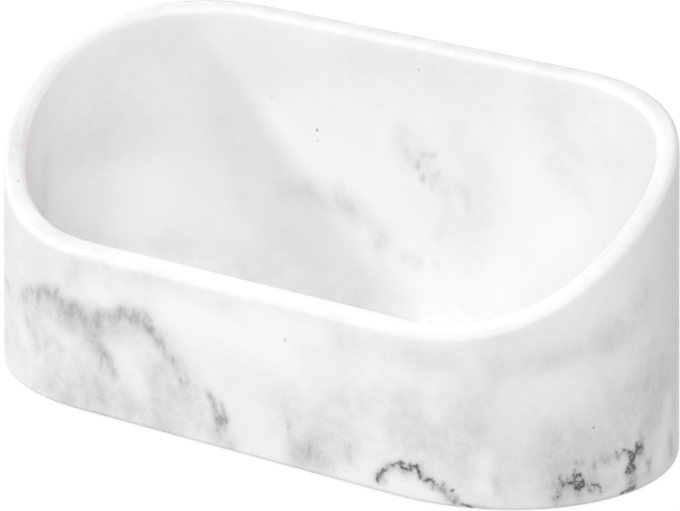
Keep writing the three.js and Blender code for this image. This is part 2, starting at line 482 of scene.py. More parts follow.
# beside the smudge, with a soft band that hangs from its left foot
SOFT_ARCH = [
    ("smudge", 1.4, 0.4, [(-52.8, 28.2), (-51.6, 27.4), (-49.6, 28.6)]),
    ("smudge", 1.0, 0.5, [(-48.2, 31.4), (-48, 27.8)]),
    ("smudge", 1.7, 0.5, [(-46.2, 31.2), (-44.6, 31.6), (-42, 31.2), (-40.4, 32.4)]),
    ("smudge", 1.5, 0.75, [(-39.4, 33.4), (-38, 33.4), (-36.6, 32.2), (-35, 33)]),
    ("smudge", 1.4, 0.5, [(-34.6, 34), (-33.4, 32.2)]),
    ("smudge", 0.9, 0.5, [(-33, 34.6), (-31, 35.2), (-29, 33.4)]),
    ("smudge", 1.0, 0.65, [(-31.2, 32.6), (-30.6, 31), (-29.4, 30.4)]),
    ("smudge", 0.8, 0.85, [(-29.6, 30.4), (-28.2, 30.8)]),
    ("smudge", 0.9, 0.6, [(-28, 29.4), (-26.8, 27.6)]),
    ("smudge", 0.8, 0.9, [(-26.8, 27.2), (-26, 27.2), (-25, 27.6)]),
    ("smudge", 1.4, 0.3, [(-26, 30), (-24.6, 29)]),
    ("smudge", 0.8, 0.6, [(-24.6, 27.4), (-24.2, 25.2)]),
    ("smudge", 1.0, 0.65, [(-23.4, 24), (-22.4, 23.8), (-21.6, 23.2)]),
    ("smudge", 1.1, 0.45, [(-20.6, 22.6), (-19.8, 20.6)]),
    ("smudge", 1.0, 0.65, [(-18.2, 17.4), (-17.6, 16.2)]),
    ("smudge", 0.9, 0.35, [(-16.4, 20.4), (-15.8, 18)]),
    ("smudge", 2.6, 0.16, [(-46, 28), (-38, 29.5), (-31, 28.5)]),
    ("smudge", 2.1, 0.45, [(-51.4, 26), (-49.8, 23.6), (-48.6, 21.6)]),
    ("smudge", 1.7, 0.5, [(-47.6, 20), (-46.6, 18.4), (-46.4, 16.2)]),
    ("smudge", 1.5, 0.6, [(-44.6, 19.2), (-43.6, 17.2), (-43.2, 15.4), (-42.4, 14.6)]),
]
LOW_LEFT = [
    ("smudge", 1.6, 0.25, [(-74, 3), (-70, 3.5), (-67, 4)]),
    ("smudge", 1.6, 0.3, [(-61, 2.5), (-58, 3)]),
    ("smudge", 1.4, 0.25, [(-48.6, 9.6), (-47.6, 8), (-47, 6)]),
    ("smudge", 2.2, 0.18, [(-38, 8), (-37, 3)]),
    ("smudge", 1.5, 0.15, [(-27.2, 12), (-27, 8), (-26, 4)]),
    ("smudge", 1.3, 0.4, [(-104, 25), (-98, 26.5), (-93.5, 28), (-91.5, 26.5)]),
    ("smudge", 1.6, 0.15, [(-59, 38), (-58, 41), (-56, 42)]),
]
print("left of the front:", len(LEFT_SMUDGE + SOFT_ARCH + LOW_LEFT), "strokes")

# %% Strokes in the middle of the front
SLASH_AND_PATCH = [
    ("smudge", 1.0, 0.8, [(-8.2, 15.4), (-7.2, 14.2), (-6.6, 13.2), (-6, 11.2), (-5.6, 9)]),
    ("smudge", 0.8, 0.65, [(-3.8, 13.4), (-3.2, 12.2), (-2.8, 10.4)]),
    ("smudge", 0.9, 0.85, [(-3.4, 8.8), (-2.6, 9), (-2, 9)]),
    ("smudge", 1.3, 0.5, [(-5.2, 10.4), (-4.4, 8.6)]),
    ("smudge", 1.6, 0.65, [(-4.8, 8), (-3.6, 6.6), (-4.6, 5.8)]),
    ("smudge", 1.1, 0.35, [(19.5, 14), (20, 10), (20.5, 7)]),
    ("smudge", 1.9, 0.55, [(22.5, 5), (24, 6), (26.5, 6.5)]),
    ("smudge", 1.3, 0.4, [(26.5, 6.5), (27, 9), (28.5, 10.5)]),
    ("smudge", 1.8, 0.35, [(30, 6), (32, 5.5), (33.5, 4.5)]),
    ("smudge", 1.3, 0.35, [(40, 11), (40.5, 8)]),
]
DARK_ARCH = [
    ("grain", 0.9, 0.9, [(50, 3.4), (50.1, 4.8), (51, 5.6), (51.8, 6.8), (52.3, 7.1)]),
    ("smudge", 0.9, 0.4, [(52, 4.2), (52.8, 3.6)]),
    ("grain", 0.65, 0.75, [(53.4, 8), (54, 9), (55.2, 9), (55.7, 9.8), (57, 10.1)]),
    ("grain", 0.6, 0.95, [(57, 10.1), (57.6, 10.7), (57.7, 9.6), (58.2, 9.2)]),
    ("grain", 0.5, 0.75, [(57.7, 10.2), (58.8, 10.6)]),
    ("smudge", 0.9, 0.6, [(58, 9), (58.6, 7.9)]),
    ("grain", 0.9, 0.5, [(57.6, 8.7), (60.8, 8.7)]),
    ("grain", 0.5, 0.75, [(59.2, 9.2), (60.5, 9), (60.3, 10.8)]),
    ("grain", 0.5, 0.9, [(60.4, 10.2), (61.5, 10.3), (62.6, 10.5)]),
    ("grain", 0.75, 1.0, [(62.6, 10.4), (62.8, 9.4), (63.4, 8.2), (63.6, 7.2)]),
    ("smudge", 0.5, 0.6, [(64, 10.2), (64.1, 8.8)]),
    ("grain", 0.65, 0.95, [(65, 6.8), (66.3, 7.2), (66.9, 7.4), (67.3, 6.7)]),
    ("smudge", 0.5, 0.75, [(67.2, 6.4), (67.2, 4.8)]),
    ("grain", 0.5, 0.65, [(68, 6), (68.6, 6.2)]),
    ("grain", 0.5, 0.65, [(70, 6.2), (70.4, 6.7)]),
    ("smudge", 0.7, 0.75, [(68.8, 5.2), (70.1, 5.2), (70, 6.3)]),
    ("smudge", 0.9, 0.65, [(70.3, 4.8), (71.3, 3.8), (71.6, 2.8)]),
    ("smudge", 0.6, 0.75, [(73.8, 3.2), (74.2, 2.4), (73.4, 1.8)]),
    ("grain", 0.5, 0.75, [(73.2, 1.5), (73.3, 2)]),
    ("grain", 0.6, 0.8, [(75.4, 1.4), (76.6, 1.2), (77.4, 0.6), (78, 0.5)]),
    ("grain", 0.7, 0.4, [(78, 1), (80, 1.2), (82.5, 0.8)]),
    ("smudge", 1.3, 0.3, [(50, 4), (52, 7), (55, 9), (60, 9.6), (63, 9), (66, 6.8), (70, 5.4), (74, 2.4)]),
]
print("middle of the front:", len(SLASH_AND_PATCH + DARK_ARCH), "strokes")

# %% Strokes at the right end
DARK_CLUSTER = [
    ("smudge", 3.0, 0.25, [(99, 19), (100, 15), (101, 12), (99, 9)]),
    ("smudge", 1.1, 0.3, [(84.5, 9), (85, 6)]),
    ("grain", 1.0, 0.66, [(102.4, 9.4), (102.5, 8), (103.6, 7.5)]),
    ("grain", 0.6, 0.55, [(104.8, 9), (104.8, 7.6)]),
    ("grain", 0.9, 0.64, [(101.2, 3.2), (102.2, 3.6), (102.5, 4.6), (103, 6.5)]),
    ("grain", 0.5, 0.8, [(106.9, 11.2), (106.9, 10.9)]),
    ("grain", 0.65, 1.0, [(106.4, 9.6), (106.9, 8.8), (107.5, 9.4), (108.3, 9.6), (108.6, 9)]),
    ("grain", 0.8, 1.0, [(105.7, 7.4), (106.8, 7.2), (106.9, 7.8)]),
    ("grain", 0.65, 1.0, [(107.1, 5.8), (108, 6.4), (108.4, 7.2), (109.2, 7.5)]),
    ("grain", 0.65, 1.0, [(109.2, 7.5), (109.5, 6.5), (109, 5.8), (108.5, 6)]),
    ("grain", 0.65, 0.9, [(107.1, 5.6), (108, 5.1)]),
    ("smudge", 0.8, 0.8, [(107.8, 4.8), (107.6, 4)]),
    ("grain", 1.1, 0.5, [(109.8, 5.6), (110.8, 6.2), (111.6, 5.8)]),
    ("grain", 0.7, 0.7, [(111.4, 4.3), (111.8, 4.2)]),
    ("grain", 0.5, 0.8, [(112.3, 5.8), (114, 5.5), (114.8, 4.4), (115.2, 3.1)]),
    ("smudge", 0.5, 0.6, [(112.8, 5.4), (112.8, 4.4)]),
    ("smudge", 0.5, 0.6, [(107, 13), (109.4, 12.6)]),
    ("smudge", 0.8, 0.75, [(113, 11.8), (113, 10.8)]),
    ("smudge", 1.1, 0.65, [(115.6, 12.2), (117.8, 12)]),
    ("smudge", 1.3, 0.4, [(101.4, 3), (102.4, 6), (103, 9)]),
    ("smudge", 2.4, 0.4, [(102, 6), (107, 8), (110, 6), (113, 5)]),
]
DARK_STREAK = [
    ("grain", 0.5, 0.75, [(120.3, 13.9), (120.6, 13.6)]),
    ("smudge", 0.6, 0.6, [(120.5, 12.8), (122, 12.6), (123, 13.6)]),
    ("grain", 0.5, 0.8, [(122.8, 14), (124.4, 13.2), (126, 12.4), (126.8, 11.4)]),
    ("smudge", 0.6, 0.5, [(121, 12.4), (121.2, 11.2)]),
    ("grain", 0.75, 1.0, [(128.2, 14.4), (128.7, 13.2), (129.8, 12.8), (131, 12.4)]),
    ("smudge", 0.8, 0.7, [(129.6, 14.4), (130.8, 13.6)]),
    ("smudge", 0.7, 0.5, [(129.6, 17), (129.8, 15), (131.4, 14.8)]),
    ("grain", 1.2, 0.6, [(129.4, 12), (130.2, 11), (131, 10.8)]),
    ("grain", 1.0, 1.0, [(128.6, 13), (127.8, 11.4), (127, 10.6)]),
    ("grain", 1.2, 0.72, [(125.4, 12.2), (126, 10), (125.8, 7)]),
    ("grain", 0.9, 1.0, [(126.2, 9.6), (126.8, 8.4), (127.5, 7.3)]),
    ("grain", 0.7, 0.95, [(124.8, 8.2), (124.3, 7)]),
    ("smudge", 1.5, 0.85, [(126, 7), (125.8, 4), (126, 1.5)]),
    ("grain", 1.3, 0.54, [(126, 7), (125.8, 4), (126, 1.5)]),
    ("smudge", 1.3, 0.8, [(127.3, 6.5), (127.4, 4), (127.4, 2)]),
    ("grain", 0.5, 0.9, [(122.2, 1.1), (123.6, 1.3), (126.6, 1.5), (127.8, 1.9)]),
    ("smudge", 0.7, 0.65, [(132.8, 7.8), (134.4, 7.2)]),
    ("smudge", 0.8, 0.4, [(133.9, 6.5), (134, 4.5)]),
    ("smudge", 2.0, 0.55, [(148, 8), (148.5, 6)]),
]
print("right end:", len(DARK_CLUSTER + DARK_STREAK), "strokes")

# %% Clouds round the front, painted shade under its rim, and places that stayed clear
FRONT_CLOUDS_AND_SHADE = [
    ("haze_and_shade", 9.0, 0.15, [(-104, 40), (-92, 36), (-84, 30)]),
    ("haze_and_shade", 5.0, 0.1, [(-84, 41), (-74, 42), (-60, 43)]),
    ("haze_and_shade", 8.0, 0.2, [(-100, 10), (-88, 16), (-76, 10)]),
    ("haze_and_shade", 7.0, 0.75, [(-62, 8), (-53, 8), (-46, 3)]),
    ("haze_and_shade", 5.0, 0.5, [(-40, 6), (-34, 3)]),
    ("haze_and_shade", 7.0, 0.75, [(-26, 16), (-20, 8)]),
    ("haze_and_shade", 5.0, 0.7, [(-15, 14), (-12, 6)]),
    ("haze_and_shade", 4.5, 0.7, [(-31, 4), (-22, 2)]),
    ("haze_and_shade", 3.0, 0.7, [(-6, 3), (-1, 2)]),
    ("haze_and_shade", 4.5, 0.4, [(-53, 12), (-48, 11)]),
    ("haze_and_shade", 6.0, 0.35, [(-80, 24), (-70, 21), (-64, 19)]),
    ("haze_and_shade", 4.5, 0.35, [(-54, 25), (-47, 26), (-42, 27)]),
    ("haze_and_shade", 3.5, 0.3, [(-50, 22), (-45.5, 16)]),
    ("haze_and_shade", 4.0, 0.4, [(-27, 34), (-22, 28), (-17, 20)]),
    # painted shade: this and the next three darken a band just under the front rim, where its lit rounding
    # ends
    ("haze_and_shade", 3.0, 0.2, [(-58, 46), (-50, 46), (-24, 46)]),
    ("haze_and_shade", 3.5, 0.3, [(-17, 44), (-9, 42.5), (-2, 42)]),
    ("haze_and_shade", 4.0, 0.2, [(38, 41), (48, 41), (57, 42)]),
    ("haze_and_shade", 4.0, 0.25, [(60, 42), (70, 42.5)]),
    ("haze_and_shade", 8.0, 0.35, [(22, 18), (32, 16), (42, 15)]),
    ("haze_and_shade", 5.0, 0.3, [(30, 11), (36, 10)]),
    ("haze_and_shade", 3.5, 0.5, [(22, 3), (30, 3)]),
    ("haze_and_shade", 6.0, 0.3, [(38, 25), (48, 26), (58, 28)]),
    ("haze_and_shade", 8.0, 0.5, [(58, 20), (66, 17), (74, 16)]),
    ("haze_and_shade", 7.0, 0.42, [(67, 25), (72, 29), (76, 30)]),
    ("haze_and_shade", 7.0, 0.5, [(77, 18), (83, 14)]),
    ("haze_and_shade", 5.0, 0.12, [(86, 12), (89, 9)]),
    ("haze_and_shade", 5.0, 0.25, [(72, 24), (78, 22)]),
    ("haze_and_shade", 9.0, 0.4, [(100, 20), (110, 18), (122, 22)]),
    ("haze_and_shade", 6.5, 0.65, [(109, 6), (118, 5), (132, 6)]),
    ("haze_and_shade", 4.5, 0.4, [(98, 11), (100, 6), (104, 3)]),
    ("haze_and_shade", 6.0, 0.35, [(108, 17), (118, 16), (132, 11)]),
    ("haze_and_shade", 8.0, 0.6, [(127, 27), (131, 28), (133, 20)]),
    # painted shade: a darker band just under the rim of the right end
    ("haze_and_shade", 3.5, 0.3, [(84, 41), (93, 42.5), (100, 44), (109, 45.5), (117, 47)]),
    ("haze_and_shade", 6.0, 0.45, [(118, 49), (125, 51), (131, 55)]),
    ("haze_and_shade", 3.0, 0.3, [(131, 38.5), (134, 39.5), (137, 42)]),
    ("haze_and_shade", 7.0, 0.45, [(136, 35), (140, 30), (143, 26)]),
    ("clear", 7.0, 0.95, [(-22, 38), (-8, 37), (8, 35), (16, 35)]),
    ("clear", 4.0, 0.7, [(6, 43), (28, 42)]),
    ("clear", 3.5, 0.3, [(-40, 22), (-36, 19), (-34, 14)]),
    ("clear", 3.0, 0.7, [(-50, 38), (-46, 37)]),
    ("clear", 4.0, 0.5, [(-82, 20), (-80, 17)]),
    ("clear", 3.0, 0.35, [(-66, 23), (-59, 20)]),
    ("clear", 2.2, 0.4, [(54, 3.5), (58, 4.5), (64, 3), (68, 2)]),
    ("clear", 3.0, 0.3, [(50, 18), (47.5, 11), (46, 6)]),
    ("clear", 3.5, 0.5, [(67, 34), (67, 28)]),
    ("clear", 3.0, 0.8, [(82, 15), (81, 7)]),
    ("clear", 6.0, 0.3, [(90, 34), (104, 36)]),
    ("clear", 4.0, 0.8, [(146, 20), (143, 13), (140, 6)]),
    ("clear", 2.4, 0.25, [(116, 8), (121, 9), (122, 5)]),
]
OUTSIDE_FROM_FRONT = (
    LEFT_SMUDGE + SOFT_ARCH + LOW_LEFT + SLASH_AND_PATCH
    + DARK_ARCH + DARK_CLUSTER + DARK_STREAK + FRONT_CLOUDS_AND_SHADE
)
print("outside, front and ends:", len(OUTSIDE_FROM_FRONT), "strokes")

# %% Strokes inside the back and the left end
INSIDE_FROM_BACK = [
    # speckled patch in the middle of the back
    ("smudge", 0.6, 0.3, [(3.2, 64.2), (4.4, 64.6)]),
    ("smudge", 0.7, 0.3, [(5.4, 65), (6.4, 64.5), (8.1, 65.3)]),
    ("smudge", 0.9, 0.16, [(4.9, 62.3), (5.4, 61.4)]),
    ("smudge", 0.6, 0.5, [(2.3, 61.5), (2.2, 61.2)]),
    ("smudge", 0.6, 0.3, [(0.9, 60.2), (1.9, 60.1)]),
    ("smudge", 0.8, 0.18, [(-1.5, 62.5), (-0.9, 62.8)]),
    ("smudge", 0.7, 0.12, [(-1.9, 65.2), (-1.9, 64.4)]),
    ("smudge", 0.6, 0.45, [(4, 57.7), (4, 56.6), (3.3, 57)]),
    ("smudge", 0.7, 0.28, [(7.2, 58.7), (8, 58.3), (9, 59.2), (9.4, 60.4)]),
    ("smudge", 0.6, 0.18, [(6.9, 55.8), (6.9, 55)]),
    ("haze_and_shade", 4.5, 0.15, [(0, 67), (4, 62), (8, 59)]),
    ("haze_and_shade", 2.6, 0.18, [(-4, 71), (-4.5, 66), (-2, 62)]),
    ("smudge", 1.5, 0.1, [(16, 56.4), (18, 56)]),
    ("smudge", 1.5, 0.12, [(19.2, 55.2), (19.8, 51)]),
    ("haze_and_shade", 6.0, 0.17, [(16, 72), (23, 66), (23, 50), (20, 34)]),
    ("haze_and_shade", 3.0, 0.15, [(12, 54), (13, 46), (9, 40)]),
    ("haze_and_shade", 8.0, 0.12, [(50, 84), (52, 74), (58, 70)]),
    ("haze_and_shade", 2.6, 0.22, [(48, 70), (53, 66.5), (58, 64), (62, 61)]),
    # soft lumps along a line down to the right
    ("haze_and_shade", 3.4, 0.25, [(-47, 42), (-41, 43), (-36, 45)]),
    ("haze_and_shade", 3.0, 0.25, [(-38, 47), (-36, 44), (-32, 42.5), (-28, 43)]),
    ("smudge", 2.4, 0.25, [(-26, 45.5), (-24.5, 43), (-22, 41.5)]),
    ("haze_and_shade", 2.6, 0.25, [(-21, 44), (-17, 43)]),
    ("haze_and_shade", 3.4, 0.45, [(-22, 41.5), (-16, 39.5), (-11, 36.5), (-12, 33.5)]),
    ("smudge", 1.6, 0.15, [(-11, 36), (-13, 34)]),
    ("smudge", 1.1, 0.22, [(-3, 31), (0, 30), (2.5, 30)]),
    ("smudge", 0.9, 0.15, [(9, 31), (9.5, 30)]),
    ("haze_and_shade", 9.0, 0.14, [(-20, 90), (0, 92), (30, 94), (60, 92)]),
    ("haze_and_shade", 7.0, 0.12, [(-38, 80), (-26, 84)]),
    ("haze_and_shade", 6.0, 0.15, [(-70, 60), (-66, 50)]),
    ("haze_and_shade", 14.0, 0.12, [(-112, 76), (-84, 84), (-56, 84)]),
    ("haze_and_shade", 9.0, 0.16, [(-130, 56), (-118, 56), (-104, 62)]),
    ("smudge", 4.0, 0.17, [(-144, 54), (-146, 44), (-147, 38)]),
    # painted shade: the next two darken the inside low down, where less light reaches the wall
    ("haze_and_shade", 8.0, 0.2, [(-92, 20), (-72, 15)]),
    ("haze_and_shade", 8.0, 0.34, [(-60, 13), (-40, 12), (-18, 10)]),
    ("haze_and_shade", 8.0, 0.12, [(-60, 34), (-46, 28), (-26, 18)]),
    ("haze_and_shade", 6.0, 0.12, [(-112, 48), (-102, 48)]),
    ("haze_and_shade", 7.0, 0.1, [(46, 82), (58, 78), (74, 76)]),
    ("haze_and_shade", 6.0, 0.1, [(-62, 85), (-50, 80)]),
    # painted shade: darker low on the inside of the back, at the right
    ("haze_and_shade", 7.0, 0.15, [(0, 14), (24, 16)]),
    ("haze_and_shade", 3.0, 0.12, [(-63, 37), (-62, 34)]),
    ("clear", 8.0, 0.9, [(-48, 63), (-34, 55), (-24, 58), (-10, 52)]),
    ("clear", 4.0, 0.6, [(-12, 70), (-10, 58)]),
    ("clear", 9.0, 1.0, [(-148, 60), (-140, 40), (-128, 30)]),
    ("clear", 9.0, 0.9, [(38, 66), (44, 52), (52, 50)]),
    ("clear", 9.0, 1.0, [(-106, 42), (-94, 41), (-108, 27)]),
]
print("inside, back and left end:", len(INSIDE_FROM_BACK), "strokes")


# %% Strokes on the outside of the back
def mirrored(strokes, along, up, stretch):
    """The same marks on another part of the wall: mirrored, moved, and stretched with their widths."""
    moved = []
    for kind, width, strength, points in strokes:
        points = [(along - place * stretch, up + rise * stretch) for place, rise in points]
        moved.append((kind, width * stretch, strength, points))
    return moved


BACK_CLOUDS = [
    ("haze_and_shade", 9.0, 0.4, [(-34, 76), (-14, 70), (4, 74)]),
    ("haze_and_shade", 8.0, 0.35, [(-60, 50), (-54, 38), (-50, 24)]),
    ("haze_and_shade", 10.0, 0.4, [(-30, 34), (-8, 26), (8, 36)]),
    ("haze_and_shade", 8.0, 0.4, [(36, 74), (56, 66), (72, 50)]),
    ("haze_and_shade", 7.0, 0.35, [(10, 14), (30, 24), (60, 26)]),
    ("haze_and_shade", 7.0, 0.4, [(-106, 58), (-96, 42), (-92, 26)]),
    ("haze_and_shade", 8.0, 0.35, [(-140, 60), (-134, 44), (-128, 30)]),
    ("clear", 8.0, 0.8, [(-16, 88), (16, 90), (30, 84)]),
    ("clear", 6.0, 0.8, [(56, 44), (70, 38)]),
    ("clear", 7.0, 0.7, [(-84, 70), (-74, 58)]),
]
OUTSIDE_FROM_BACK = (
    mirrored(LEFT_SMUDGE + SOFT_ARCH, along=-72, up=28, stretch=1.15)
    + mirrored(DARK_ARCH, along=132, up=5, stretch=1.3)
    + mirrored(SLASH_AND_PATCH, along=-98, up=16, stretch=1.3)
    + BACK_CLOUDS
)
print("outside of the back:", len(OUTSIDE_FROM_BACK), "strokes")

# %% Strokes inside the front, and haze with painted shade on the rim
INSIDE_FROM_FRONT = [
    ("haze_and_shade", 2.4, 0.5, [(-34, 36), (-26, 33), (-20, 27)]),
    ("haze_and_shade", 6.0, 0.35, [(8, 34), (22, 28), (36, 33)]),
    ("smudge", 1.8, 0.3, [(58, 40), (64, 35), (67, 27)]),
    ("haze_and_shade", 7.0, 0.3, [(110, 50), (122, 46), (128, 34)]),
]
# haze and painted shade: greyer rim tops at both ends and the front, where the lamps light them brightest
RIM_HAZE_AND_SHADE_FROM_FRONT = [
    ("haze_and_shade", 12.0, 0.3, [(-94, 54), (-106, 64)]),
    ("haze_and_shade", 14.0, 0.32, [(-116, 72), (-140, 90)]),
    ("haze_and_shade", 16.0, 0.3, [(112, 70), (126, 82), (150, 94)]),
    ("haze_and_shade", 9.0, 0.3, [(-70, 48), (-50, 48)]),
]
# haze and painted shade along the whole back rim
RIM_HAZE_AND_SHADE_FROM_BACK = [
    ("haze_and_shade", 20.0, 0.38, [(-84, 94), (-30, 96), (30, 96), (84, 94)]),
]
print("inside of the front and rim:", len(INSIDE_FROM_FRONT + RIM_HAZE_AND_SHADE_FROM_FRONT + RIM_HAZE_AND_SHADE_FROM_BACK), "strokes")


# %% Tell the sides of the wall apart
RIM_ABOVE = 30


def fade_in(value, start, full):
    """0 up to the start, 1 from full on, and in proportion in between."""
    return np.clip((value - start) / (full - start), 0, 1)


outside = fade_in(faces_out, start=0.5, full=0.75)
inside = fade_in(-faces_out, start=0.3125, full=0.9375)
level = 1 - outside - inside
rim = np.where(height > RIM_ABOVE, level, 0)
stroke_groups = [
    (OUTSIDE_FROM_FRONT, from_front, outside),
    (INSIDE_FROM_BACK, from_back, inside),
    (OUTSIDE_FROM_BACK, from_back, outside),
    (INSIDE_FROM_FRONT, from_front, inside),
    (RIM_HAZE_AND_SHADE_FROM_FRONT, from_front, rim),
    (RIM_HAZE_AND_SHADE_FROM_BACK, from_back, rim),
]
print("sides of the wall:", int((rim > 0).sum()), "points on the rim and its edges")


# %% Gather the strokes in attributes
def stroke_cover(across, up, width, points, run_down=1):
    """How much of a stroke lies on each place: 1 on its line, fading over its width, taller by run_down."""
    points = np.array(points, float) / (1, run_down)
    up = up / run_down
    nearest = np.full(across.shape, np.inf)
    for start, end in zip(points[:-1], points[1:]):
        run = end - start
        share = ((across - start[0]) * run[0] + (up - start[1]) * run[1]) / (run @ run)
        share = np.clip(share, 0, 1)
        reach = np.hypot(across - start[0] - share * run[0], up - start[1] - share * run[1])
        nearest = np.minimum(nearest, reach)
    return np.exp(-((nearest / width) ** 2))


# a thin haze on the walls; on the rim it is haze and painted shade, and on the inside floor, the underside
# and the recesses it is painted shade, which also lets the floor bounce less light onto the low walls
HAZE_OUTSIDE = 0.24
HAZE_INSIDE = 0.12
RIM_HAZE_AND_SHADE = 0.06
PAINTED_SHADE_ON_FLATS = 0.36
# smudges run down the mould, which makes them taller and thins them
SMUDGE_RUN_DOWN = 1.4
SMUDGE_THINNED = 0.88
# what each kind leaves around itself: a paler kind, how much wider, how strong
HALOS = {"smudge": ("haze_and_shade", 2.4, 0.38), "grain": ("smudge", 1.3, 0.7)}
pigment_and_shade = {kind: np.zeros(len(height)) for kind in ("haze_and_shade", "smudge", "grain", "clear")}
pigment_and_shade["haze_and_shade"] += HAZE_OUTSIDE * outside + HAZE_INSIDE * inside
# the rim gets haze and painted shade, the floors below it painted shade
pigment_and_shade["haze_and_shade"] += RIM_HAZE_AND_SHADE * rim + PAINTED_SHADE_ON_FLATS * (level - rim)


def lay_pigment_and_shade(kind, cover):
    """Adds a cover to one kind of mark (pigment, and in places painted shade), so that strokes that cross
    never add up to more than 1.
    """
    pigment_and_shade[kind] = 1 - (1 - pigment_and_shade[kind]) * (1 - cover)


for strokes, across, faced in stroke_groups:
    for kind, width, strength, points in strokes:
        run_down = 1
        if kind == "smudge":
            run_down = SMUDGE_RUN_DOWN
            strength *= SMUDGE_THINNED
        cover = stroke_cover(across, height, width, points, run_down)
        lay_pigment_and_shade(kind, cover * strength * faced)
        if kind in HALOS:
            pale_kind, wider, share = HALOS[kind]
            halo = stroke_cover(across, height, width * wider, points)
            lay_pigment_and_shade(pale_kind, halo * strength * share * faced)
pigment_and_shade["haze_and_shade"] *= 1 - pigment_and_shade.pop("clear")
PLAIN_TO_SEE = 0.3
for kind, amount in pigment_and_shade.items():
    layer = basin.data.attributes.new(kind, "FLOAT", "POINT")
    layer.data.foreach_set("value", amount.astype(np.float32))
    print("pigment:", kind, "on", int((amount > PLAIN_TO_SEE).sum()), "of", len(amount), "points")

# %% [markdown]
# ## The marbled resin
#
# The resin is white and satin, with stone powder in it, and the pigment in it is broken up: smudges
# show fine upright streaks, because the pigment runs down the mould, and the dark lines are made of
# grains. The material mixes four colours, white, pale cloud, grey smudge and dark grain. Each mix is
# one of the attributes times a noise of the right scale.
# The pale cloud grey also carries painted shade: on the rim, under the front rim, low inside, and on the
# floors.


# %% Helpers for materials
def new_material(name):
    """A new material, its node tree and its Principled shader."""
    material = bpy.data.materials.new(name)
    material.use_nodes = True
    tree = material.node_tree
    return material, tree, tree.nodes["Principled BSDF"]


def add_node(tree, kind, settings=None, **inputs):
    """Adds a node. Each input, by name or as i and its number, is a value or an output to link from."""
    node = tree.nodes.new("ShaderNode" + kind)
    for name, value in (settings or {}).items():
        setattr(node, name, value)
    for name, value in inputs.items():
        socket = node.inputs[int(name[1:])] if name[0] == "i" and name[1:].isdigit() else node.inputs[name]
        if isinstance(value, bpy.types.NodeSocket):
            tree.links.new(value, socket)
        else:
            socket.default_value = value
    return node


def sums(tree, operation, first, second, clamp=False):
    """A Math node on two values or outputs, and its result."""
    settings = {"operation": operation, "use_clamp": clamp}
    return add_node(tree, "Math", settings, i0=first, i1=second).outputs[0]


def spread(tree, value, low, high, to_low=0.0, to_high=1.0):
    """Spreads a value from low..high to another range, smoothly and clamped."""
    node = add_node(tree, "MapRange", {"interpolation_type": "SMOOTHSTEP"}, Value=value)
    for socket, number in zip(("From Min", "From Max", "To Min", "To Max"), (low, high, to_low, to_high)):
        node.inputs[socket].default_value = number
    return node.outputs["Result"]


def noise(tree, vector, scale, detail=2.0, roughness=0.5):
    """A noise texture; scale counts its features per metre."""
    node = add_node(tree, "TexNoise", Vector=vector, Scale=scale, Detail=detail, Roughness=roughness)
    return node.outputs["Fac"]


def mix_colour(tree, amount, first, second):
    """A colour mix by an amount; each of the two may be a colour or another mix."""
    node = add_node(tree, "Mix", {"data_type": "RGBA"}, i0=amount)
    # sockets 6 and 7 take the two colours, and output 2 gives their mix
    for index, colour in ((6, first), (7, second)):
        if isinstance(colour, bpy.types.NodeSocket):
            tree.links.new(colour, node.inputs[index])
        else:
            node.inputs[index].default_value = (*colour, 1)
    return node.outputs[2]


# %% Mix the marbled resin
RESIN_WHITE = (0.877, 0.870, 0.860)
CLOUD_AND_SHADE_GREY = (0.476, 0.474, 0.488)
SMUDGE_GREY = (0.342, 0.338, 0.340)
GRAIN_GREY = (0.09, 0.09, 0.089)
UPRIGHT_STREAKS = (1, 1, 0.4)
GRAIN_LIFT = 0.5

resin, tree, shader = new_material("marbled_resin_white")
place = add_node(tree, "TexCoord").outputs["Object"]
upright = add_node(tree, "Mapping", Vector=place, Scale=UPRIGHT_STREAKS).outputs["Vector"]
haze_and_shade, smudge, grain = (
    add_node(tree, "Attribute", {"attribute_name": kind}).outputs["Fac"]
    for kind in ("haze_and_shade", "smudge", "grain")
)

clouds = noise(tree, place, scale=45, detail=4.0, roughness=0.55)
billows = noise(tree, place, scale=260, detail=4.0, roughness=0.6)
mottle = noise(tree, place, scale=900, detail=3.0, roughness=0.6)
streaks = noise(tree, upright, scale=1300, detail=3.0, roughness=0.65)
grains = noise(tree, place, scale=1600, detail=3.0, roughness=0.65)

# pale clouds, and painted shade where strokes stand for it, heavier and lighter in soft patches
haze_break = spread(tree, clouds, 0.3, 0.7, to_low=0.5, to_high=0.95)
for texture, amount in ((billows, 0.12), (mottle, 0.08)):
    ripple = spread(tree, texture, 0.3, 0.7, to_low=-amount, to_high=amount)
    haze_break = sums(tree, "ADD", haze_break, ripple)
haze_and_shade_share = sums(tree, "MULTIPLY", haze_and_shade, haze_break, clamp=True)

# smudges: blotches that run down in streaks
blotches = spread(tree, billows, 0.3, 0.65, to_low=0.7, to_high=1.15)
runs = spread(tree, streaks, 0.3, 0.7, to_low=0.55, to_high=1.25)
smudge_share = sums(tree, "MULTIPLY", smudge, sums(tree, "MULTIPLY", blotches, runs), clamp=True)

# dark lines: grains where the pigment is thick enough
grain_level = sums(tree, "ADD", sums(tree, "MULTIPLY", grain, GRAIN_LIFT), grains)
grain_share = spread(tree, grain_level, 0.7, 1.02)

colour = mix_colour(tree, haze_and_shade_share, RESIN_WHITE, CLOUD_AND_SHADE_GREY)
colour = mix_colour(tree, smudge_share, colour, SMUDGE_GREY)
colour = mix_colour(tree, grain_share, colour, GRAIN_GREY)
print("resin colours:", len(tree.nodes), "nodes so far")

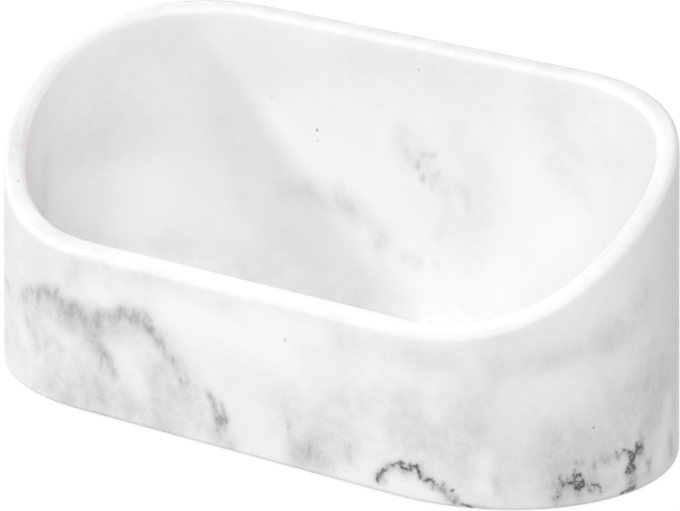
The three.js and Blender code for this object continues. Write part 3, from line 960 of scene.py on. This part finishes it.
# %% Single specks of pigment
# Each is a place on the surface and a radius, in millimetres, and how dark it is.
SPECKS = [
    ((-34.3, 41.1, 65.9), 0.5, 0.6),
    ((-34.0, 41.1, 62.7), 0.4, 0.5),
    ((2.0, 41.1, 91.3), 0.55, 0.25),
    ((-51.0, 41.1, 73.2), 0.5, 0.2),
    ((18.0, -49.1, 38.8), 0.5, 0.35),
    ((103.7, -23.3, 23.6), 0.7, 0.9),
    ((73.0, -47.4, 6.0), 0.6, 0.75),
    ((-66.5, -42.6, 52.5), 0.6, 0.5),
    ((-90.2, -32.1, 59.8), 0.6, 0.5),
]
# shares of the radius: a speck is full up to its core, and gone at its reach
SPECK_CORE = 0.5
SPECK_REACH = 1.3
# its edge wanders by up to half of this
RAGGED = Vector((1, 1, 1)) * MM
RAGGED_SCALE = 1500
ragged = add_node(tree, "TexNoise", Vector=place, Scale=RAGGED_SCALE).outputs["Color"]
shift = add_node(tree, "VectorMath", {"operation": "MULTIPLY_ADD"}, i0=ragged, i1=RAGGED, i2=place)
uneven = add_node(tree, "VectorMath", {"operation": "SUBTRACT"}, i0=shift.outputs[0], i1=RAGGED / 2)
for speck_place, radius, strength in SPECKS:
    centre = Vector(speck_place) * MM
    reach = add_node(tree, "VectorMath", {"operation": "DISTANCE"}, i0=uneven.outputs[0], i1=centre)
    edge = SPECK_REACH * radius * MM
    core = SPECK_CORE * radius * MM
    inside_speck = spread(tree, reach.outputs["Value"], edge, core, to_high=strength)
    colour = mix_colour(tree, inside_speck, colour, GRAIN_GREY)
print("specks:", len(SPECKS))

# %% Finish the resin's surface
tree.links.new(colour, shader.inputs["Base Color"])
roughness = spread(tree, billows, 0.2, 0.8, to_low=0.46, to_high=0.56)
tree.links.new(roughness, shader.inputs["Roughness"])
fine = noise(tree, place, scale=2200)
bump = add_node(tree, "Bump", Height=fine, Strength=0.08, Distance=0.2 * MM)
tree.links.new(bump.outputs["Normal"], shader.inputs["Normal"])
basin.data.materials.append(resin)
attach(basin, "root")
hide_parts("basin")
print("marbled resin:", len(tree.nodes), "nodes")

# %% [markdown]
# ## The foot pads
#
# Four foam rubber discs keep the tray from sliding and keep its stone-like underside off the shelf.
# One disc is modelled from a cylinder: its edges are bevelled, the lower one more, and inset rings
# hold its two faces flat. Each recess then gets a copy with its own mesh.

# %% Model one pad
PAD_EDGE_RADIUS = 0.4 * MM
PAD_TOP_EDGE_RADIUS = PAD_EDGE_RADIUS / 3
PAD_RINGS = (1.2 * MM, 2 * MM)
PAD_SHARP_ANGLE = math.radians(50)
bpy.ops.object.select_all(action="DESELECT")
bpy.ops.mesh.primitive_cylinder_add(
    vertices=DISC_SIDES,
    radius=PAD_DIAMETER / 2,
    depth=PAD_THICKNESS,
    location=(0, 0, PAD_THICKNESS / 2),
)
bpy.ops.object.transform_apply(location=True)
first_pad = bpy.context.object
bpy.ops.object.mode_set(mode="EDIT")
select_edges(first_pad, lambda edge: all(v.co.z < NEAR for v in edge.verts))
bpy.ops.mesh.bevel(offset=PAD_EDGE_RADIUS, segments=4, affect="EDGES")
select_edges(first_pad, lambda edge: all(v.co.z > PAD_THICKNESS - NEAR for v in edge.verts))
bpy.ops.mesh.bevel(offset=PAD_TOP_EDGE_RADIUS, segments=2, affect="EDGES")
hold_caps_flat(first_pad, (0, PAD_THICKNESS), PAD_RINGS)
bpy.ops.object.mode_set(mode="OBJECT")
bpy.ops.object.shade_smooth_by_angle(angle=PAD_SHARP_ANGLE)
print("one pad:", len(first_pad.data.polygons), "faces")

# %% Mix the foam rubber
FOAM_LIGHT = (0.66, 0.66, 0.63)
FOAM_DARK = (0.56, 0.56, 0.54)
foam, tree, shader = new_material("foam_rubber_grey")
place = add_node(tree, "TexCoord").outputs["Object"]
cells = noise(tree, place, scale=2600, roughness=0.6)
tint = noise(tree, place, scale=220, detail=3.0)
foam_colour = mix_colour(tree, spread(tree, tint, 0.35, 0.7), FOAM_LIGHT, FOAM_DARK)
tree.links.new(foam_colour, shader.inputs["Base Color"])
shader.inputs["Roughness"].default_value = 0.9
bump = add_node(tree, "Bump", Height=cells, Strength=0.5, Distance=0.2 * MM)
tree.links.new(bump.outputs["Normal"], shader.inputs["Normal"])
first_pad.data.materials.append(foam)
print("foam rubber:", len(tree.nodes), "nodes")

# %% Put a pad at each recess
for name, pad_place in PAD_PLACES.items():
    pad = first_pad.copy()
    pad.data = first_pad.data.copy()
    pad.name = "foam_pad_" + name
    bpy.context.scene.collection.objects.link(pad)
    select_only(pad)
    pad.location = pad_place
    bpy.ops.object.transform_apply(location=True)
    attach(pad, "root")
    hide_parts("foot_pad_" + name)
bpy.data.objects.remove(first_pad)
print("pads:", len(PAD_PLACES))

# %% [markdown]
# ## The adhesive
#
# A thin clear film of adhesive holds each pad to the ceiling of its recess. The construction model's
# disc already has the right shape, so it stays and only gets a better finish: a slightly yellow
# film, clouded where it has not wetted the resin.

# %% Finish the adhesive
FILM_WETTED = (0.62, 0.58, 0.44)
FILM_CLOUDED = (0.74, 0.71, 0.60)
film, tree, shader = new_material("adhesive_film")
place = add_node(tree, "TexCoord").outputs["Object"]
wetting = noise(tree, place, scale=900, detail=3.0, roughness=0.6)
film_colour = mix_colour(tree, spread(tree, wetting, 0.4, 0.65), FILM_WETTED, FILM_CLOUDED)
tree.links.new(film_colour, shader.inputs["Base Color"])
roughness = spread(tree, wetting, 0.4, 0.65, to_low=0.25, to_high=0.5)
tree.links.new(roughness, shader.inputs["Roughness"])
for name in PAD_PLACES:
    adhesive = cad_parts["pad_adhesive_" + name]
    for slot in adhesive.material_slots:
        slot.material = film
print("adhesive film:", len(tree.nodes), "nodes, on", len(PAD_PLACES), "discs")

# %% [markdown]
# ## Floor and light
#
# The picture is a catalogue picture on white. The floor is a wide white plane that takes the tray's
# soft shadow; the camera, and anything that mirrors it, sees it a little brighter so that it reads as
# white. A small sun from the left draws the soft edge of shade inside the tray. A broad sun from the
# front right lights the outside and the back wall, a weak one stands at the front, and two from the
# rear lift the inside of the front wall and the ends. The world lights the rest evenly.

# %% Lay the floor
FLOOR_SIZE = 12
FLOOR_DROP = 0.05 * MM
PAPER_GREY = 0.6
SEEN_GREY = 0.15
SEEN_GLOW = 0.9


def seen_itself(tree):
    """1 where the camera sees this itself, in a mirror or through glass, and 0 where it lights the tray."""
    rays = add_node(tree, "LightPath").outputs
    seen = sums(tree, "MAXIMUM", rays["Is Camera Ray"], rays["Is Glossy Ray"])
    return sums(tree, "MAXIMUM", seen, rays["Is Transmission Ray"])


bpy.ops.object.select_all(action="DESELECT")
# a hair under the pads, so that their faces don't lie in the same plane
bpy.ops.mesh.primitive_plane_add(size=FLOOR_SIZE, location=(0, 0, -FLOOR_DROP))
floor = bpy.context.object
floor.name = "studio_floor"
paper, tree, shader = new_material("studio_paper")
shader.inputs["Roughness"].default_value = 1
shader.inputs["Specular IOR Level"].default_value = 0
shader.inputs["Emission Color"].default_value = (1, 1, 1, 1)
seen = seen_itself(tree)
paper_colour = mix_colour(tree, seen, (PAPER_GREY,) * 3, (SEEN_GREY,) * 3)
tree.links.new(paper_colour, shader.inputs["Base Color"])
tree.links.new(sums(tree, "MULTIPLY", seen, SEEN_GLOW), shader.inputs["Emission Strength"])
floor.data.materials.append(paper)
print("floor:", FLOOR_SIZE, "m wide")

# %% Hang the lights
# azimuth, elevation and spread in degrees, then strength
LIGHTS = {
    "key": (-61, 26, 8, 1.31),
    "front_right_soft": (30, 35, 40, 1.67),
    "front_soft": (0, 35, 40, 0.24),
    "rear_left_soft": (-120, 35, 40, 0.58),
    "rear_right_soft": (120, 35, 40, 0.51),
}
for name, (azimuth, elevation, spread_angle, strength) in LIGHTS.items():
    bpy.ops.object.light_add(type="SUN")
    lamp = bpy.context.object
    lamp.name = name
    towards = direction_from(math.radians(azimuth), math.radians(elevation))
    lamp.rotation_euler = towards.to_track_quat("Z", "Y").to_euler()
    lamp.data.angle = math.radians(spread_angle)
    lamp.data.energy = strength
print("lamps:", ", ".join(LIGHTS))

# %% Light the air
AMBIENT = 0.27
world = bpy.data.worlds.new("studio_air")
bpy.context.scene.world = world
world.use_nodes = True
tree = world.node_tree
sky = tree.nodes["Background"]
sky.inputs["Color"].default_value = (1, 1, 1, 1)
sky_strength = spread(tree, seen_itself(tree), 0, 1, to_low=AMBIENT, to_high=1)
tree.links.new(sky_strength, sky.inputs["Strength"])
print("air lights the tray at", AMBIENT)

# %% Finish
bpy.context.scene.view_settings.view_transform = "Standard"
